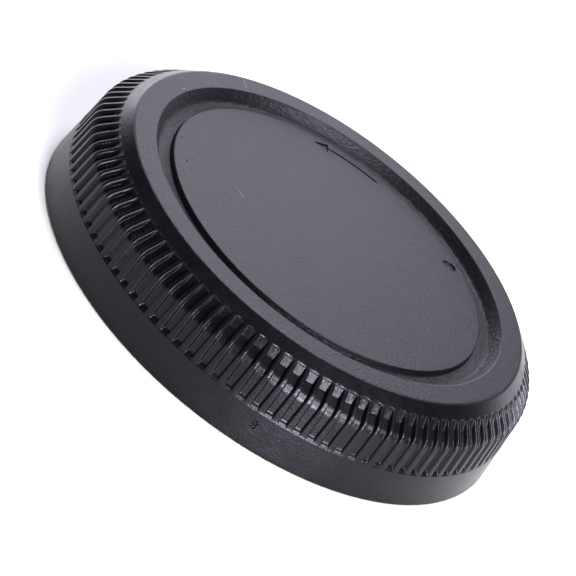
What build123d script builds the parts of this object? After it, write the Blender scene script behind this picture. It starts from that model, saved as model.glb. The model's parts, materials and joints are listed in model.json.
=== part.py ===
from build123d import *
from math import degrees, radians, tan
import os

# A moulded body cap for a medium-format camera mount, in millimetres.
# The origin is the centre of the plane that the skirt's rim rests on, and +Z points out of the face.

# Throat of the camera mount that the cap closes
throat_radius = 32.5
throat_clearance = 0.15

# Outside form: a drafted skirt, and a slope from its shoulder up to the flat face
skirt_reach = 7.5
cap_height = 15.2
skirt_draft = 6.5
slope_width = 4.5
slope_height = 3.9
wall = 1.8

# Recess in the face, with a raised disc in it
face_width = 3.7
recess_depth = 1.8
recess_wall_width = 1.2
gutter_width = 2.3
disc_rise = 0.85

# Index dot sunk in the disc
dot_radius = 1.15
dot_depth = 0.2
dot_inset = 2.3
dot_angle = 46.6

# Grip grooves round the slope and the side, between lands that are flush with the skirt
grip_count = 108
groove_width = 1.4
groove_start = 2.1
groove_slope_depth = 0.7
groove_side_depth = 0.45
groove_ramp_turn = 25.0
groove_foot_turn = 31.0
plain_band = 5.7

# Bayonet boss on the underside, and its lugs
boss_wall = 2.0
boss_setback = 0.3
lug_reach = 1.5
lug_height = 1.5
lug_width = 16.0
lug_lead_in = 0.35
lug_count = 3
lug_start = 20.0

# Webs between boss and skirt, whose lower edges seat on the camera's mount ring
seat_height = 3.7
web_count = 12
web_thickness = 1.2

# Chamfers
shoulder_chamfer = 0.55
groove_chamfer = 0.5
rim_chamfer = 0.3
face_chamfer = 0.2
disc_chamfer = 0.15
pocket_chamfer = 0.6

# Values that follow from the sizes above
rim_radius = throat_radius + skirt_reach
shoulder_height = cap_height - slope_height
shoulder_radius = rim_radius - shoulder_height * tan(radians(skirt_draft))
face_radius = shoulder_radius - slope_width
recess_radius = face_radius - face_width
recess_foot_radius = recess_radius - recess_wall_width
recess_floor = cap_height - recess_depth
disc_radius = recess_foot_radius - gutter_width
disc_top = recess_floor + disc_rise
plate_underside = recess_floor - wall
disc_underside = disc_top - wall
boss_radius = throat_radius - throat_clearance
boss_middle_radius = boss_radius - boss_wall / 2
bore_radius = boss_radius - boss_wall
lug_radius = throat_radius + lug_reach
lug_top = boss_setback + lug_height
lug_arc = degrees(lug_width / lug_radius)
groove_arc = degrees(groove_width / shoulder_radius)

# Corners and directions of the slope and the side in the half section
face_edge = Vector(face_radius, cap_height)
shoulder_edge = Vector(shoulder_radius, shoulder_height)
rim_edge = Vector(rim_radius, 0)
slope_line = (shoulder_edge - face_edge).normalized()
side_line = (rim_edge - shoulder_edge).normalized()
below_rim = rim_edge + side_line * 2 * wall


def turned(line, angle):
    """Direction in the half section, turned from another by this many degrees."""
    return line.rotate(Axis.Z, angle)


def meeting(start, line, other_start, other_line):
    """Point of the half section where two lines cross."""
    gap = other_start - start
    across = line.X * other_line.Y - line.Y * other_line.X
    return start + line * ((gap.X * other_line.Y - gap.Y * other_line.X) / across)


# One grip groove: a ramp into the slope, a floor that bends with the shoulder, and a short foot
groove_top = face_edge + slope_line * groove_start
groove_foot = rim_edge - side_line * plain_band
slope_floor = face_edge + turned(slope_line, -90) * groove_slope_depth
side_floor = rim_edge + turned(side_line, -90) * groove_side_depth
floor_bend = meeting(slope_floor, slope_line, side_floor, side_line)
ramp = turned(slope_line, -groove_ramp_turn)
foot = turned(side_line, groove_foot_turn)
with BuildPart() as groove:
    with BuildSketch(Plane.XZ):
        with BuildLine():
            Polyline(
                groove_top - ramp,
                meeting(groove_top, ramp, slope_floor, slope_line),
                floor_bend - slope_line * groove_chamfer,
                floor_bend + side_line * groove_chamfer,
                meeting(groove_foot, foot, side_floor, side_line),
                groove_foot + foot,
                shoulder_edge + Vector(wall, wall),
                close=True,
            )
        make_face()
    revolve(axis=Axis.Z, revolution_arc=groove_arc)

# One web, which runs from the middle of the boss's wall to the middle of the skirt's
with BuildPart() as web:
    with BuildSketch(Plane.XZ.offset(-web_thickness / 2)):
        with BuildLine():
            Polyline((0, 0), rim_edge, shoulder_edge, face_edge, (0, cap_height), close=True)
        make_face()
        offset(amount=-wall / 2, kind=Kind.INTERSECTION)
        with Locations((boss_middle_radius, seat_height)):
            Rectangle(rim_radius, cap_height, align=Align.MIN, mode=Mode.INTERSECT)
    extrude(amount=web_thickness)

# One bayonet lug at the foot of the boss, with a lead-in on its lower edge
with BuildPart() as lug:
    with BuildSketch(Plane.XZ):
        with BuildLine():
            Polyline(
                (boss_middle_radius, boss_setback),
                (lug_radius - lug_lead_in, boss_setback),
                (lug_radius, boss_setback + lug_lead_in),
                (lug_radius, lug_top),
                (boss_middle_radius, lug_top),
                close=True,
            )
        make_face()
    revolve(axis=Axis.Z, revolution_arc=lug_arc)

# The cap
with BuildPart() as body_cap:
    # Solid block of the outside, with the recess and the disc in its face
    with BuildSketch(Plane.XZ) as outside:
        with BuildLine():
            Polyline(
                (0, 0),
                rim_edge,
                shoulder_edge,
                face_edge,
                (recess_radius, cap_height),
                (recess_foot_radius, recess_floor),
                (disc_radius, recess_floor),
                (disc_radius, disc_top),
                (0, disc_top),
                close=True,
            )
        make_face()
        chamfer(outside.vertices().sort_by(Axis.X)[-2], shoulder_chamfer)
        chamfer(outside.vertices().sort_by(Axis.X)[-1], rim_chamfer)
        chamfer(outside.vertices().group_by(Axis.Y)[-2].sort_by(Axis.X)[-1], disc_chamfer)
        chamfer(outside.vertices().group_by(Axis.Y)[-1], face_chamfer)
    revolve(axis=Axis.Z)

    # Pocket between boss and skirt, one wall inside the slope and the side
    with BuildSketch(Plane.XZ) as pocket:
        with BuildLine():
            Polyline((0, below_rim.Y), below_rim, shoulder_edge, face_edge, (0, cap_height), close=True)
        make_face()
        offset(amount=-wall, kind=Kind.INTERSECTION)
        with Locations((boss_radius, below_rim.Y)):
            Rectangle(rim_radius, 2 * cap_height, align=Align.MIN, mode=Mode.INTERSECT)
        chamfer(pocket.vertices().group_by(Axis.Y)[-1].sort_by(Axis.X)[0], pocket_chamfer)
    revolve(axis=Axis.Z, mode=Mode.SUBTRACT)

    # Bore of the boss, stepped to follow the disc, so that the plate has an even wall
    with BuildSketch(Plane.XZ) as bore:
        with BuildLine():
            Polyline(
                (0, -wall),
                (bore_radius, -wall),
                (bore_radius, plate_underside),
                (disc_radius - wall, plate_underside),
                (disc_radius - wall, disc_underside),
                (0, disc_underside),
                close=True,
            )
        make_face()
        chamfer(bore.vertices().group_by(Axis.X)[-1].sort_by(Axis.Y)[-1], pocket_chamfer)
    revolve(axis=Axis.Z, mode=Mode.SUBTRACT)

    # Space below the boss, which stops short of the plane that the rim rests on
    Cylinder(
        boss_radius + wall / 2,
        boss_setback,
        align=(Align.CENTER, Align.CENTER, Align.MIN),
        mode=Mode.SUBTRACT,
    )

    with PolarLocations(0, web_count):
        add(web.part)
    with PolarLocations(0, lug_count, start_angle=lug_start):
        add(lug.part)
    with PolarLocations(0, grip_count, start_angle=-groove_arc / 2):
        add(groove.part, mode=Mode.SUBTRACT)
    with PolarLocations(disc_radius - dot_inset, 1, start_angle=dot_angle):
        with Locations((0, 0, disc_top)):
            Cylinder(dot_radius, 2 * dot_depth, mode=Mode.SUBTRACT)

body_cap.part.label = "body_cap"
os.makedirs("parts", exist_ok=True)
export_step(body_cap.part, "parts/body_cap.step")
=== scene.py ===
import bmesh
import bpy
import json
import math
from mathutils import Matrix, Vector

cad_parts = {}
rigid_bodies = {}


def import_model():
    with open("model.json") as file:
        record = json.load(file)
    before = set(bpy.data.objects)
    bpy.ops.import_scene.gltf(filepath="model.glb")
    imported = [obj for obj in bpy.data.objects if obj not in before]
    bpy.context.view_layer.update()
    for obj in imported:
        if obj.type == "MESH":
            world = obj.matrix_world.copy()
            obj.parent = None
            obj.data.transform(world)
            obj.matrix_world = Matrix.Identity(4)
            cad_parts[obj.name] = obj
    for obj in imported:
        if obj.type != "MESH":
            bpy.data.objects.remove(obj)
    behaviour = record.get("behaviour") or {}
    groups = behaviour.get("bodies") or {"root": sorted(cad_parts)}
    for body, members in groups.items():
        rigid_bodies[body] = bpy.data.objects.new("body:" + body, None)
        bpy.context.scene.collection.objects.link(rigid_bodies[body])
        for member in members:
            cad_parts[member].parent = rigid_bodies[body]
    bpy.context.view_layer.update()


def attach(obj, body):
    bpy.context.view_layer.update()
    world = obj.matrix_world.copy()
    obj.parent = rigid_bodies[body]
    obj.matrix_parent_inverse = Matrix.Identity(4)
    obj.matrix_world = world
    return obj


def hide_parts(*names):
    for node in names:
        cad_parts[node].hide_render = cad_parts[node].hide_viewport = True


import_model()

MM = 0.001
TURN = 2 * math.pi
# In metres: how near two places count as one, and how near two heights count as level
SAME_PLACE = 0.001 * MM
SAME_LEVEL = 0.02 * MM

# Sizes of the moulding, in millimetres, as in the solid model
RIM_RADIUS = 40.0
CAP_HEIGHT = 15.2
SHOULDER_HEIGHT = 11.3
SIDE_DRAFT = 6.5
SHOULDER_RADIUS = RIM_RADIUS - SHOULDER_HEIGHT * math.tan(math.radians(SIDE_DRAFT))
FACE_RADIUS = SHOULDER_RADIUS - 4.5
RECESS_RADIUS = FACE_RADIUS - 3.7
RECESS_FOOT_RADIUS = RECESS_RADIUS - 1.2
RECESS_FLOOR = CAP_HEIGHT - 1.8
DISC_RADIUS = RECESS_FOOT_RADIUS - 2.3
DISC_TOP = RECESS_FLOOR + 0.85
DISC_DRAFT = 0.2
WALL = 1.8
BOSS_RADIUS = 32.35
BORE_RADIUS = 30.35
BOSS_SETBACK = 0.3
LUG_RADIUS = 34.0
LUG_FOOT = 0.35
LUG_TOP = 1.8
LUG_LEAD_IN = 0.35
LUG_WIDTH = 16.0
LUG_ROUNDING = 0.15
LUG_COUNT = 3
LUG_START = 20
SEAT_HEIGHT = 3.7
WEB_THICKNESS = 1.2
WEB_ROUNDING = 0.25
WEB_COUNT = 12
# How far webs and lugs reach into the boss's wall
WALL_REACH = 1
# Width of the strip that is revolved at the disc's edge, above and below, where one face closes the rest
TOP_STRIP, UNDER_STRIP = 0.8, 1

# The grip: 108 grooves between lands, with a plain band below that stands a little proud of the lands
GRIP_COUNT = 108
SECTOR = TURN / GRIP_COUNT
GROOVE_START = 2.1
SLOPE_DEPTH = 0.7
SIDE_DEPTH = 0.5
PLAIN_BAND = 5.7
LIP_START = 0.05
LIP_LENGTH = 0.25
LIP_DEPTH = 0.27
SILL_DEPTH = 0.22
BAND_STEP = 0.02
BAND_BEVEL = 0.08
SHOULDER_ROUNDING = 2.3
SHOULDER_STEPS = 6
# Turns of a groove's floor away from the slope and away from the side, in degrees
LIP_TURN, STEP_DOWN_TURN, RAMP_TURN = 19, 62, 18.5
STEP_UP_TURN, SILL_TURN = 50, 24
# Plain margins above and below a groove, and the gores from there to the strips without grooves
TOP_MARGIN, FOOT_MARGIN, GORE = 0.35, 0.12, 0.3

# Index dot and turn arrow in the disc
DOT_RADIUS = 1.15
DOT_DEPTH = 0.27
DOT_DRAFT = 0.1
DOT_INSET = 2.3
DOT_ANGLE = 46.6
ARROW_DEPTH = 0.25
SHAFT_RADIUS = 25.1
SHAFT_WIDTH = 0.5
SHAFT_STEPS = 16
HEAD_HALF_WIDTH = 1.15
SHAFT_START, HEAD_BACK, HEAD_TIP = 89.3, 110.6, 116.8

# Half widths of a groove at the surface, in degrees round the axis: at its arch's top, along it, at its sill
ARCH_HALF = 0.5
GROOVE_HALF = 1.2
FOOT_HALF = 1.03
# Spread of the groove's walls on the slope and on the side, in the same degrees
SLOPE_SPREAD = 0.34
SIDE_SPREAD = 0.45
# Steps from the surface to the floor of a groove's wall, as shares of its spread and of its depth
WALL_STEPS = (
    (-0.3, 0), (-0.08, 0.03), (0.15, 0.14), (0.4, 0.42), (0.7, 0.8), (0.88, 0.96), (1.02, 1), (1.2, 1),
)
# Points of a groove's floor line: on the arch, before the shoulder, round it, down to the sill, and below
ARCH_ROWS = 6
SHOULDER_ROW = 10
SHOULDER_ROWS = SHOULDER_STEPS + 1
SILL_ROWS = 7
BAND_ROW = SHOULDER_ROW + SHOULDER_ROWS + SILL_ROWS
FOOT_ROWS = 4


# Lines of the half section, with the radius along X and the height along Y

def turned(line, degrees):
    """A direction of the half section, turned by this many degrees."""
    angle = math.radians(degrees)
    return Vector((
        line.x * math.cos(angle) - line.y * math.sin(angle),
        line.x * math.sin(angle) + line.y * math.cos(angle),
    ))


def meeting(start, line, other_start, other_line):
    """Point of the half section where two lines cross."""
    gap = other_start - start
    across = line.x * other_line.y - line.y * other_line.x
    return start + line * ((gap.x * other_line.y - gap.y * other_line.x) / across)


def rounded(corners):
    """Section line through corners, each a point with the radius and the number of steps of its arc."""
    line = []
    for place, (point, radius, steps) in enumerate(corners):
        if not radius:
            line.append(point)
            continue
        into = (point - corners[place - 1][0]).normalized()
        out = (corners[place + 1][0] - point).normalized()
        turn = math.degrees(into.angle_signed(out))
        reach = radius * math.tan(math.radians(abs(turn)) / 2)
        side = turned(into, -90 if turn > 0 else 90)
        centre = point - into * reach + side * radius
        for step in range(steps + 1):
            line.append(centre + turned(-side * radius, -turn * step / steps))
    return line


def in_space(point, angle):
    """Place in metres of a point of the half section, turned to this angle."""
    return Vector((point.x * math.cos(angle), point.x * math.sin(angle), point.y)) * MM


face_edge = Vector((FACE_RADIUS, CAP_HEIGHT))
shoulder_edge = Vector((SHOULDER_RADIUS, SHOULDER_HEIGHT))
rim_edge = Vector((RIM_RADIUS, 0))
slope_line = (shoulder_edge - face_edge).normalized()
side_line = (rim_edge - shoulder_edge).normalized()
slope_inside = face_edge + turned(slope_line, -90) * WALL
side_inside = rim_edge + turned(side_line, -90) * WALL
groove_top = face_edge + slope_line * GROOVE_START
groove_foot = rim_edge - side_line * PLAIN_BAND
grip_top = groove_top - slope_line * TOP_MARGIN
grip_foot = groove_foot + side_line * FOOT_MARGIN
land_step = turned(side_line, -90) * BAND_STEP

# From the disc, across the recess and the flat face, to the head of the grip
crown_line = rounded([
    (Vector((DISC_RADIUS - TOP_STRIP, DISC_TOP)), 0, 0),
    (Vector((DISC_RADIUS, DISC_TOP)), 0.2, 4),
    (Vector((DISC_RADIUS + DISC_DRAFT, RECESS_FLOOR)), 0.1, 2),
    (Vector((RECESS_FOOT_RADIUS, RECESS_FLOOR)), 1.0, 5),
    (Vector((RECESS_RADIUS, CAP_HEIGHT)), 0.25, 4),
    (face_edge, 0.9, 5),
    (grip_top - slope_line * GORE, 0, 0),
])

# From the foot of the grip, round the rim, up inside the skirt, round the boss and to the disc's underside
skirt_line = rounded([
    (grip_foot + side_line * GORE, 0, 0),
    (rim_edge, 0.4, 5),
    (meeting(side_inside, side_line, Vector((0, 0)), Vector((1, 0))), 0.25, 3),
    (meeting(side_inside, side_line, slope_inside, slope_line), 0.8, 3),
    (meeting(slope_inside, slope_line, Vector((0, RECESS_FLOOR)), Vector((1, 0))), 0, 0),
    (Vector((BOSS_RADIUS, RECESS_FLOOR)), 0.4, 3),
    (Vector((BOSS_RADIUS, BOSS_SETBACK)), 0.3, 3),
    (Vector((BORE_RADIUS, BOSS_SETBACK)), 0.3, 3),
    (Vector((BORE_RADIUS, RECESS_FLOOR - WALL)), 0.6, 4),
    (Vector((DISC_RADIUS - WALL, RECESS_FLOOR - WALL)), 0.2, 3),
    (Vector((DISC_RADIUS - WALL, DISC_TOP - WALL)), 0.2, 3),
    (Vector((DISC_RADIUS - WALL - UNDER_STRIP, DISC_TOP - WALL)), 0, 0),
])

# Floor of one groove: a bevelled lip, a steep step, a ramp, the bend over the shoulder, a step up and a sill
slope_floor = face_edge + turned(slope_line, -90) * SLOPE_DEPTH
side_floor = rim_edge + turned(side_line, -90) * SIDE_DEPTH
lip = turned(slope_line, -LIP_TURN)
step_down = turned(slope_line, -STEP_DOWN_TURN)
ramp = turned(slope_line, -RAMP_TURN)
step_up = turned(side_line, STEP_UP_TURN)
sill = turned(side_line, SILL_TURN)
lip_top = groove_top - slope_line * LIP_START
lip_edge = lip_top + lip * LIP_LENGTH
drop = LIP_DEPTH - LIP_LENGTH * math.sin(math.radians(LIP_TURN))
ramp_top = lip_edge + step_down * drop / math.sin(math.radians(STEP_DOWN_TURN))
sill_top = groove_foot - sill * SILL_DEPTH / math.sin(math.radians(SILL_TURN))
floor_line = rounded([
    (grip_top, 0, 0),
    (lip_top, 0.08, 1),
    (lip_edge, 0.05, 1),
    (ramp_top, 0.05, 1),
    (meeting(ramp_top, ramp, slope_floor, slope_line), 0.3, 2),
    (meeting(slope_floor, slope_line, side_floor, side_line), SHOULDER_ROUNDING, SHOULDER_STEPS),
    (meeting(sill_top, step_up, side_floor, side_line), 0.5, 3),
    (sill_top, 0.1, 2),
    (groove_foot, 0.1, 2),
    (grip_foot, 0, 0),
])

# The land beside it, with one point for each point of the floor, and a small bevel up to the band
land_side = rim_edge + land_step
land_shoulder = meeting(face_edge, slope_line, land_side, side_line)
land_bend = rounded([
    (grip_top, 0, 0), (land_shoulder, SHOULDER_ROUNDING, SHOULDER_STEPS), (grip_foot, 0, 0),
])[1:-1]
land_line = []
for place, point in enumerate(floor_line):
    if place < SHOULDER_ROW:
        land_line.append(face_edge + slope_line * (point - face_edge).dot(slope_line))
    elif place < SHOULDER_ROW + SHOULDER_ROWS:
        land_line.append(land_bend[place - SHOULDER_ROW])
    elif place < BAND_ROW:
        land_line.append(land_side + side_line * (point - rim_edge).dot(side_line))
    else:
        land_line.append(rim_edge + side_line * (point - rim_edge).dot(side_line))
land_line[BAND_ROW - 1] = groove_foot - side_line * BAND_BEVEL + land_step

# Half width of the groove at the surface, and spread of its walls, at each point of the floor line
halves = [ARCH_HALF]
for row in range(ARCH_ROWS):
    opening = math.sin(math.radians(90 * row / (ARCH_ROWS - 1)))
    halves.append(ARCH_HALF + (GROOVE_HALF - ARCH_HALF) * opening)
halves += [GROOVE_HALF] * (SHOULDER_ROW + SHOULDER_ROWS - len(halves))
halves += [FOOT_HALF] * SILL_ROWS + [GROOVE_HALF] * FOOT_ROWS
spreads = [SLOPE_SPREAD] * SHOULDER_ROW
for row in range(SHOULDER_ROWS):
    spreads.append(SLOPE_SPREAD + (SIDE_SPREAD - SLOPE_SPREAD) * row / SHOULDER_STEPS)
spreads += [SIDE_SPREAD] * (SILL_ROWS + FOOT_ROWS)


def grip_row(share, depth_share, side):
    """Points in space of one line along the grip, by its share of the wall's spread and of its depth."""
    points = []
    for land, floor, half, full_spread in zip(land_line, floor_line, halves, spreads):
        spread = full_spread * min(1, (land - floor).length / SIDE_DEPTH)
        angle = math.radians(half - share * spread)
        points.append(in_space(land.lerp(floor, depth_share), side * angle))
    return points


# Modelling moves

def start_piece(name):
    """Starts an empty mesh piece and leaves it in edit mode."""
    bpy.ops.object.select_all(action="DESELECT")
    bpy.ops.mesh.primitive_plane_add(size=MM)
    piece = bpy.context.object
    piece.name = name
    piece.data.name = name
    bpy.ops.object.mode_set(mode="EDIT")
    bpy.ops.mesh.delete(type="VERT")
    return piece


def draw(points):
    """Draws a chain of edges through these points by extruding one vertex, and leaves it selected."""
    bpy.ops.mesh.select_mode(type="VERT")
    bpy.ops.mesh.select_all(action="DESELECT")
    bpy.ops.mesh.primitive_plane_add(size=MM, location=points[0])
    bpy.ops.mesh.merge(type="CENTER")
    for here, there in zip(points, points[1:]):
        bpy.ops.mesh.extrude_region_move(TRANSFORM_OT_translate={"value": there - here})
    bpy.ops.mesh.select_linked()


def revolve_strip(line):
    """Draws a section line at one edge of the sector and spins it across to the other."""
    draw([in_space(point, -SECTOR / 2) for point in line])
    bpy.ops.mesh.spin(steps=1, angle=SECTOR, center=(0, 0, 0), axis=(0, 0, -1))


def pick(piece, kind, test):
    """Selects in edit mode the vertices, edges or faces that pass a test, and nothing else."""
    bpy.ops.mesh.select_mode(type={"verts": "VERT", "edges": "EDGE", "faces": "FACE"}[kind])
    bpy.ops.mesh.select_all(action="DESELECT")
    mesh = bmesh.from_edit_mesh(piece.data)
    mesh.verts.index_update()
    for item in getattr(mesh, kind):
        if test(item):
            item.select_set(True)
    mesh.select_flush_mode()
    bmesh.update_edit_mesh(piece.data)


def same_spot(vertex, point, angle):
    """Whether a vertex is at this point of the half section, turned to this angle."""
    return (vertex.co - in_space(point, angle)).length < SAME_PLACE


def on_ring(vertex, point):
    """Whether a vertex is on the ring that this point of the half section makes round the axis."""
    radius = math.hypot(vertex.co.x, vertex.co.y)
    return abs(vertex.co.z - point.y * MM) < SAME_PLACE and abs(radius - point.x * MM) < SAME_PLACE


def copy_round(count):
    """In edit mode, copies the whole mesh round the axis."""
    bpy.ops.mesh.select_all(action="SELECT")
    bpy.ops.mesh.spin(
        steps=count - 1, dupli=True, angle=TURN * (count - 1) / count, center=(0, 0, 0), axis=(0, 0, -1)
    )


def finish_piece():
    """Closes seams, turns the faces outwards and leaves edit mode."""
    bpy.ops.mesh.select_all(action="SELECT")
    bpy.ops.mesh.remove_doubles(threshold=SAME_PLACE)
    bpy.ops.mesh.normals_make_consistent(inside=False)
    bpy.ops.object.mode_set(mode="OBJECT")


def apply_modifier(piece, kind, **settings):
    """Adds a modifier with these settings and applies it."""
    bpy.ops.object.select_all(action="DESELECT")
    piece.select_set(True)
    bpy.context.view_layer.objects.active = piece
    modifier = piece.modifiers.new(kind.title(), kind)
    for name, value in settings.items():
        setattr(modifier, name, value)
    bpy.ops.object.modifier_apply(modifier=modifier.name)


def cut_or_join(piece, other, operation):
    """Joins another closed piece to this one, or cuts it out, and removes the other."""
    apply_modifier(piece, "BOOLEAN", object=other, operation=operation, solver="EXACT")
    bpy.data.objects.remove(other)


# One sector of the cap, with one groove in its middle: lines along the grip, bridged one to the next
cap = start_piece("cap_moulding")
left_wall = [grip_row(share, depth_share, -1) for share, depth_share in WALL_STEPS]
right_wall = [grip_row(share, depth_share, 1) for share, depth_share in reversed(WALL_STEPS)]
grip_lines = [[in_space(point, -SECTOR / 2) for point in land_line]]
grip_lines += left_wall + [[in_space(point, 0) for point in floor_line]] + right_wall
grip_lines += [[in_space(point, SECTOR / 2) for point in land_line]]
rows = len(floor_line)
for number, line in enumerate(grip_lines):
    draw(line)
    if number:
        pick(cap, "edges", lambda edge: all(
            vertex.index >= (number - 1) * rows for vertex in edge.verts
        ))
        bpy.ops.mesh.bridge_edge_loops()
revolve_strip(crown_line)
revolve_strip(skirt_line)

# The gores between the grip's rows and the plain strips above and below it, one face each
for plain_end, grip_end in ((crown_line[-1], grip_top), (skirt_line[0], grip_foot)):
    for side in (-1, 1):
        pick(cap, "verts", lambda vertex: same_spot(vertex, plain_end, side * SECTOR / 2)
             or same_spot(vertex, grip_end, side * SECTOR / 2))
        bpy.ops.mesh.edge_face_add()
    heights = (plain_end.y * MM, grip_end.y * MM)
    pick(cap, "edges", lambda edge: all(
        min(abs(vertex.co.z - height) for height in heights) < SAME_LEVEL for vertex in edge.verts
    ))
    bpy.ops.mesh.edge_face_add()

# The whole cap: the sector copied round, with the disc closed above and below
copy_round(GRIP_COUNT)
bpy.ops.mesh.select_all(action="SELECT")
bpy.ops.mesh.remove_doubles(threshold=SAME_PLACE)
for ring in (crown_line[0], skirt_line[-1]):
    pick(cap, "edges", lambda edge: all(on_ring(vertex, ring) for vertex in edge.verts))
    bpy.ops.mesh.edge_face_add()
finish_piece()

# Webs between boss and skirt, which end in the middle of each wall
slope_middle = face_edge + turned(slope_line, -90) * WALL / 2
side_middle = rim_edge + turned(side_line, -90) * WALL / 2
web_top = CAP_HEIGHT - WALL / 2
webs = start_piece("webs")
draw([Vector((point.x * MM, -WEB_THICKNESS / 2 * MM, point.y * MM)) for point in (
    Vector((BOSS_RADIUS - WALL_REACH, SEAT_HEIGHT)),
    meeting(side_middle, side_line, Vector((0, SEAT_HEIGHT)), Vector((1, 0))),
    meeting(side_middle, side_line, slope_middle, slope_line),
    meeting(slope_middle, slope_line, Vector((0, web_top)), Vector((1, 0))),
    Vector((BOSS_RADIUS - WALL_REACH, web_top)),
)])
bpy.ops.mesh.edge_face_add()
bpy.ops.mesh.extrude_region_move(TRANSFORM_OT_translate={"value": (0, WEB_THICKNESS * MM, 0)})
pick(webs, "edges", lambda edge: abs(edge.verts[0].co.y - edge.verts[1].co.y) < SAME_PLACE and all(
    abs(vertex.co.z - SEAT_HEIGHT * MM) < SAME_PLACE for vertex in edge.verts
))
bpy.ops.mesh.bevel(offset=WEB_ROUNDING * MM, segments=3)
copy_round(WEB_COUNT)
finish_piece()
cut_or_join(cap, webs, "UNION")

# Bayonet lugs, with rounded ends and a lead-in along the lower edge
lugs = start_piece("lugs")
draw([in_space(Vector(point), math.radians(LUG_START)) for point in (
    (BOSS_RADIUS - WALL_REACH, LUG_FOOT),
    (LUG_RADIUS - LUG_LEAD_IN, LUG_FOOT),
    (LUG_RADIUS, LUG_FOOT + LUG_LEAD_IN),
    (LUG_RADIUS, LUG_TOP),
    (BOSS_RADIUS - WALL_REACH, LUG_TOP),
)])
bpy.ops.mesh.edge_face_add()
bpy.ops.mesh.spin(steps=16, angle=LUG_WIDTH / LUG_RADIUS, center=(0, 0, 0), axis=(0, 0, -1))
copy_round(LUG_COUNT)
finish_piece()
apply_modifier(
    lugs, "BEVEL", width=LUG_ROUNDING * MM, segments=2, limit_method="ANGLE", angle_limit=math.radians(30)
)
cut_or_join(cap, lugs, "UNION")

# Index dot sunk in the disc, with a draft on its wall
bpy.ops.object.select_all(action="DESELECT")
bpy.ops.mesh.primitive_cone_add(
    vertices=64, radius1=DOT_RADIUS * MM, radius2=(DOT_RADIUS + DOT_DRAFT) * MM, depth=2 * DOT_DEPTH * MM,
    location=in_space(Vector((DISC_RADIUS - DOT_INSET, DISC_TOP)), math.radians(DOT_ANGLE)),
)
cut_or_join(cap, bpy.context.object, "DIFFERENCE")

# Turn arrow sunk in the disc: a head that points anticlockwise, and a thin curved shaft behind it
arrow = start_piece("arrow")
shaft_inside, shaft_outside = SHAFT_RADIUS - SHAFT_WIDTH / 2, SHAFT_RADIUS + SHAFT_WIDTH / 2
shaft_angles = [
    SHAFT_START + (HEAD_BACK - SHAFT_START) * step / SHAFT_STEPS for step in range(SHAFT_STEPS + 1)
]
outline = [(shaft_outside, angle) for angle in shaft_angles]
outline.append((SHAFT_RADIUS + HEAD_HALF_WIDTH, HEAD_BACK))
outline.append((SHAFT_RADIUS, HEAD_TIP))
outline.append((SHAFT_RADIUS - HEAD_HALF_WIDTH, HEAD_BACK))
outline += [(shaft_inside, angle) for angle in reversed(shaft_angles)]
draw([in_space(Vector((radius, DISC_TOP - ARROW_DEPTH)), math.radians(angle)) for radius, angle in outline])
bpy.ops.mesh.edge_face_add()
bpy.ops.mesh.extrude_region_move(TRANSFORM_OT_translate={"value": (0, 0, 2 * ARROW_DEPTH * MM)})
finish_piece()
cut_or_join(cap, arrow, "DIFFERENCE")

# Wear: a chipped nick on the band, made by four bites round a lump, and two pits in the disc. Each has its
# place in the half section, the way out of the surface, its angle round the axis, its radius and its depth.
side_out = turned(side_line, -90) * -1
for point, outward, angle, radius, depth in (
    (rim_edge - side_line * 4.3, side_out, -78.1, 0.3, 0.3),
    (rim_edge - side_line * 4.1, side_out, -77.6, 0.28, 0.28),
    (rim_edge - side_line * 3.65, side_out, -78.3, 0.26, 0.26),
    (rim_edge - side_line * 3.5, side_out, -77.75, 0.3, 0.28),
    (Vector((26.2, DISC_TOP)), Vector((0, 1)), -168.2, 0.16, 0.1),
    (Vector((24.85, DISC_TOP)), Vector((0, 1)), -155.9, 0.2, 0.12),
):
    bpy.ops.object.select_all(action="DESELECT")
    bpy.ops.mesh.primitive_ico_sphere_add(
        subdivisions=2, radius=radius * MM,
        location=in_space(point + outward * (radius - depth), math.radians(angle)),
    )
    cut_or_join(cap, bpy.context.object, "DIFFERENCE")

bpy.ops.object.select_all(action="DESELECT")
cap.select_set(True)
bpy.context.view_layer.objects.active = cap
bpy.ops.object.shade_smooth_by_angle(angle=math.radians(40))
apply_modifier(cap, "WEIGHTED_NORMAL", keep_sharp=True)
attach(cap, "root")
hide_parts("body_cap")


# Finishes

# Widths of the patterns, in millimetres. Spark erosion leaves a grain of about 0.15 mm, and a satin mould
# wall a finer one. Both are drawn coarser, so that they show in the render.
FACE_GRAIN = 0.35
RECESS_GRAIN = 0.35
SATIN_GRAIN = 0.35
DRAG_WIDTH = 0.3
MOTTLE_WIDTH = 2.5
# Depths of the grains, in millimetres, and the share of the satin one that the drag marks add
FACE_GRAIN_DEPTH = 0.055
RECESS_GRAIN_DEPTH = 0.17
SATIN_GRAIN_DEPTH = 0.036
DRAG_SHARE = 0.25
# How many times longer than wide the drag marks and the recess's streaks are
DRAG_STRETCH = 12.5
STREAK_STRETCH = 2.2
FACE_ROUGHNESS = 0.41
RECESS_ROUGHNESS = 0.47
SATIN_ROUGHNESS = (0.26, 0.34)
# How far a finish runs past the edge that bounds it, and how far the recess's stops short of it
FACE_MARGIN, FLOOR_MARGIN, RECESS_MARGIN = 0.1, 0.2, 0.05


def to_linear(code):
    """Linear colour of an sRGB hex code."""
    parts = [int(code[place:place + 2], 16) / 255 for place in (1, 3, 5)]
    return [part / 12.92 if part <= 0.04045 else ((part + 0.055) / 1.055) ** 2.4 for part in parts] + [1]


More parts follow.
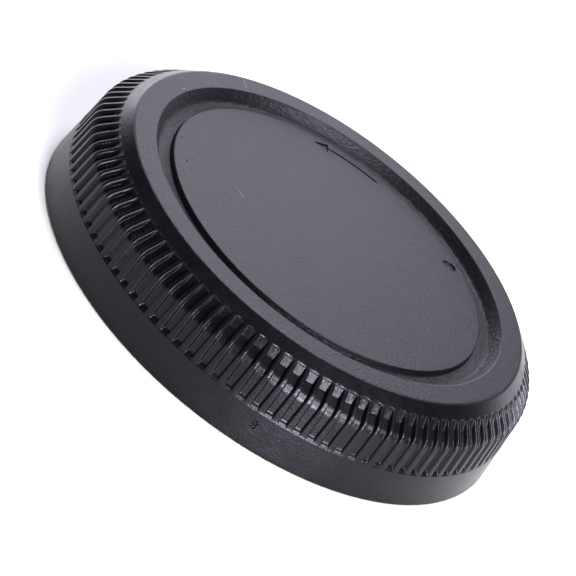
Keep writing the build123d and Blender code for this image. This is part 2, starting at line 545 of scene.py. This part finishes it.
def add_node(tree, kind, settings=None, inputs=None):
    """Adds a node, sets its options, and fills its inputs with values or with what other nodes give."""
    node = tree.nodes.new(kind)
    for name, value in (settings or {}).items():
        setattr(node, name, value)
    for name, value in (inputs or {}).items():
        if isinstance(value, bpy.types.Node):
            value = next(output for output in value.outputs if output.enabled)
        if isinstance(value, bpy.types.NodeSocket):
            tree.links.new(value, node.inputs[name])
        else:
            node.inputs[name].default_value = value
    return node


def start_material(name):
    """A new material with an empty tree."""
    material = bpy.data.materials.new(name)
    material.use_nodes = True
    material.node_tree.nodes.clear()
    return material, material.node_tree


def scuff(tree, place, start, end, width):
    """Mask of a thin mark that runs between two places, given in millimetres."""
    start, end = Vector(start) * MM, Vector(end) * MM
    along = end - start
    turn = along.to_track_quat("X", "Z").to_matrix().inverted().to_euler()
    scale = (2 / along.length, 2 / (width * MM), 2 / (width * MM))
    centred = add_node(tree, "ShaderNodeVectorMath", {"operation": "SUBTRACT"}, {
        0: place, 1: (start + end) / 2,
    })
    aligned = add_node(tree, "ShaderNodeVectorRotate", {"rotation_type": "EULER_XYZ"}, {
        "Vector": centred, "Rotation": turn,
    })
    scaled = add_node(tree, "ShaderNodeVectorMath", {"operation": "MULTIPLY"}, {0: aligned, 1: scale})
    distance = add_node(tree, "ShaderNodeVectorMath", {"operation": "LENGTH"}, {0: scaled})
    return add_node(tree, "ShaderNodeMapRange", inputs={
        "Value": distance, "From Min": 0.5, "From Max": 1.3, "To Min": 1.0, "To Max": 0.0,
    })


# Black ABS, injection moulded. The rim and the disc are from a spark-eroded mould wall: matt, with a fine
# even grain. The recess between them is from a rough, hand-dressed wall: blotchy, with streaks that run
# round. The slope, grip and band are from a satin wall: smoother, with faint mottling and drag marks.
plastic, tree = start_material("moulded_black_abs")
place = add_node(tree, "ShaderNodeTexCoord").outputs["Object"]
axes = add_node(tree, "ShaderNodeSeparateXYZ", inputs={"Vector": place})
across, along, up = axes.outputs["X"], axes.outputs["Y"], axes.outputs["Z"]

# Where the face is, and the recess in it, by height and by distance from the axis
level_place = add_node(tree, "ShaderNodeVectorMath", {"operation": "MULTIPLY"}, {0: place, 1: (1, 1, 0)})
radius = add_node(tree, "ShaderNodeVectorMath", {"operation": "LENGTH"}, {0: level_place})
high = add_node(tree, "ShaderNodeMath", {"operation": "GREATER_THAN"}, {
    0: up, 1: (RECESS_FLOOR - FLOOR_MARGIN) * MM,
})
inside_slope = add_node(tree, "ShaderNodeMath", {"operation": "LESS_THAN"}, {
    0: radius, 1: (FACE_RADIUS + FACE_MARGIN) * MM,
})
in_face = add_node(tree, "ShaderNodeMath", {"operation": "MULTIPLY"}, {0: high, 1: inside_slope})
round_disc = add_node(tree, "ShaderNodeMath", {"operation": "COMPARE"}, {
    0: radius, 1: (DISC_RADIUS + RECESS_RADIUS) / 2 * MM,
    2: ((RECESS_RADIUS - DISC_RADIUS) / 2 - RECESS_MARGIN) * MM,
})
in_recess = add_node(tree, "ShaderNodeMath", {"operation": "MULTIPLY"}, {0: high, 1: round_disc})

# Satin grain outside, with drag marks: noise on places that are drawn out along the axis
upright_place = add_node(tree, "ShaderNodeVectorMath", {"operation": "MULTIPLY"}, {
    0: place, 1: (1, 1, 1 / DRAG_STRETCH),
})
drag_marks = add_node(tree, "ShaderNodeTexNoise", inputs={
    "Vector": upright_place, "Scale": 1 / (DRAG_WIDTH * MM), "Detail": 1,
})
drag = add_node(tree, "ShaderNodeMath", {"operation": "MULTIPLY"}, {0: drag_marks, 1: DRAG_SHARE})
satin_grain = add_node(tree, "ShaderNodeTexNoise", inputs={
    "Vector": place, "Scale": 1 / (SATIN_GRAIN * MM), "Detail": 2,
})
satin = add_node(tree, "ShaderNodeMath", {"operation": "ADD"}, {0: satin_grain, 1: drag})
height = add_node(tree, "ShaderNodeMath", {"operation": "MULTIPLY"}, {0: satin, 1: SATIN_GRAIN_DEPTH})

# Even grain on the face, and in the recess streaks on places that are drawn out round the axis
angle = add_node(tree, "ShaderNodeMath", {"operation": "ARCTAN2"}, {0: along, 1: across})
arc = add_node(tree, "ShaderNodeMath", {"operation": "MULTIPLY"}, {
    0: angle, 1: RECESS_RADIUS * MM / STREAK_STRETCH,
})
round_place = add_node(tree, "ShaderNodeCombineXYZ", inputs={"X": arc, "Y": radius, "Z": up})
for zone, zone_place, width, detail, depth in (
    (in_face, place, FACE_GRAIN, 1, FACE_GRAIN_DEPTH),
    (in_recess, round_place, RECESS_GRAIN, 3, RECESS_GRAIN_DEPTH),
):
    grain = add_node(tree, "ShaderNodeTexNoise", inputs={
        "Vector": zone_place, "Scale": 1 / (width * MM), "Detail": detail,
    })
    zone_height = add_node(tree, "ShaderNodeMath", {"operation": "MULTIPLY"}, {0: grain, 1: depth})
    height = add_node(tree, "ShaderNodeMix", {"data_type": "FLOAT"}, {
        "Factor": zone, "A": height, "B": zone_height,
    })
bump = add_node(tree, "ShaderNodeBump", inputs={"Height": height, "Strength": 1.0, "Distance": MM})

# Faint mottling in roughness and colour
mottling = add_node(tree, "ShaderNodeTexNoise", inputs={
    "Vector": place, "Scale": 1 / (MOTTLE_WIDTH * MM), "Detail": 3, "Roughness": 0.65,
})
roughness = add_node(tree, "ShaderNodeMapRange", inputs={
    "Value": mottling, "From Min": 0.3, "From Max": 0.7,
    "To Min": SATIN_ROUGHNESS[0], "To Max": SATIN_ROUGHNESS[1],
})
for zone, zone_roughness in ((in_face, FACE_ROUGHNESS), (in_recess, RECESS_ROUGHNESS)):
    roughness = add_node(tree, "ShaderNodeMix", {"data_type": "FLOAT"}, {
        "Factor": zone, "A": roughness, "B": zone_roughness,
    })
colour = add_node(tree, "ShaderNodeMix", {"data_type": "RGBA"}, {
    "Factor": mottling, "A": to_linear("#030304"), "B": to_linear("#09080b"),
})

# Scuffs, where the black has gone pale: a scratch and a fainter one on the disc, two touches on the rim and
# one on the recess wall. Each has its two ends, its width and its strength.
for start, end, width, strength in (
    ((-14.63, -6.94, DISC_TOP), (-12.85, -8.15, DISC_TOP), 0.3, 0.06),
    ((-11.15, 9.64, DISC_TOP), (-9.40, 8.84, DISC_TOP), 0.3, 0.03),
    ((-25.5, 21.7, CAP_HEIGHT), (-24.15, 19.56, CAP_HEIGHT), 0.45, 0.04),
    ((-30.77, 5.9, CAP_HEIGHT), (-30.57, 5.66, CAP_HEIGHT), 0.4, 0.22),
    ((12.58, 26.91, 14), (12.98, 28.84, 15), 0.4, 0.03),
):
    mask = add_node(tree, "ShaderNodeMath", {"operation": "MULTIPLY"}, {
        0: scuff(tree, place, start, end, width), 1: strength,
    })
    colour = add_node(tree, "ShaderNodeMix", {"data_type": "RGBA"}, {
        "Factor": mask, "A": colour, "B": to_linear("#e0dde6"),
    })
shader = add_node(tree, "ShaderNodeBsdfPrincipled", inputs={
    "Base Color": colour, "Roughness": roughness, "IOR": 1.5, "Specular IOR Level": 0.2,
    "Specular Tint": to_linear("#f0ecff"), "Normal": bump,
})
add_node(tree, "ShaderNodeOutputMaterial", inputs={"Surface": shader})
cap.data.materials.clear()
cap.data.materials.append(plastic)

# Studio: white paper, panels behind that the dark plastic mirrors, and two key strips in front
bpy.ops.mesh.primitive_circle_add(vertices=96, radius=3, fill_type="NGON", location=(0, 0, 0))
floor = bpy.context.object
floor.name = "studio_floor"
# White paper, rolled and uncoated: matt and bright, a plain white that also lights the band from below
paper, tree = start_material("white_paper_sweep")
shader = add_node(tree, "ShaderNodeBsdfPrincipled", inputs={
    "Base Color": to_linear("#d4d4d2"), "Roughness": 0.9,
})
add_node(tree, "ShaderNodeOutputMaterial", inputs={"Surface": shader})
floor.data.materials.append(paper)

# Distance of the lights from the cap, in metres, and the cool white of the panels
LIGHT_DISTANCE = 1.5
COOL = "#f5f2ff"


def add_softbox(name, azimuth, elevation, width, height, power, colour="#ffffff"):
    """A rectangular light at a direction from the cap, in degrees, that faces it."""
    azimuth, elevation = math.radians(azimuth), math.radians(elevation)
    out = Vector((
        math.cos(elevation) * math.cos(azimuth), math.cos(elevation) * math.sin(azimuth), math.sin(elevation)
    ))
    data = bpy.data.lights.new(name, "AREA")
    data.shape = "RECTANGLE"
    data.size, data.size_y = width, height
    data.energy = power
    data.color = to_linear(colour)[:3]
    lamp = bpy.data.objects.new(name, data)
    lamp.location = out * LIGHT_DISTANCE
    lamp.rotation_euler = out.to_track_quat("Z", "Y").to_euler()
    bpy.context.scene.collection.objects.link(lamp)


add_softbox("back_top_panel", 95, 48, 0.6, 0.5, 11.2, COOL)
add_softbox("back_overhead_panel", 90, 68, 0.8, 0.5, 23, COOL)
add_softbox("back_low_panel", 102, 9, 0.9, 0.4, 6.6, COOL)
add_softbox("back_left_low_panel", 124, 9, 0.6, 0.4, 4.2, COOL)
add_softbox("left_low_panel", 156, 9, 0.8, 0.4, 2.6, COOL)
add_softbox("back_right_low_panel", 60, 9, 0.7, 0.4, 2.6, COOL)
add_softbox("back_middle_panel", 108, 27, 0.7, 0.4, 1.0, COOL)
add_softbox("left_panel", 192, 34, 0.7, 0.6, 1.2, COOL)
add_softbox("key_strip_low", -55, 5, 0.6, 0.35, 62)
add_softbox("key_strip_high", -46, 33, 1.25, 0.32, 52)

world = bpy.data.worlds.new("studio_surround")
world.use_nodes = True
world.node_tree.nodes["Background"].inputs["Color"].default_value = to_linear("#ffffff")
world.node_tree.nodes["Background"].inputs["Strength"].default_value = 0.01
bpy.context.scene.world = world
bpy.context.scene.view_settings.view_transform = "Standard"

# Camera where the photograph's ellipses put it, with a long lens
camera_data = bpy.data.cameras.new("photo_camera")
camera_data.lens = 162.5
camera_data.sensor_width = 36
camera_data.clip_start = 0.01
camera = bpy.data.objects.new("photo_camera", camera_data)
camera.location = (0.002515, -0.343028, 0.181985)
camera.rotation_euler = [math.radians(angle) for angle in (56.2526, -33.6966, 20.7574)]
bpy.context.scene.collection.objects.link(camera)
bpy.context.scene.camera = camera
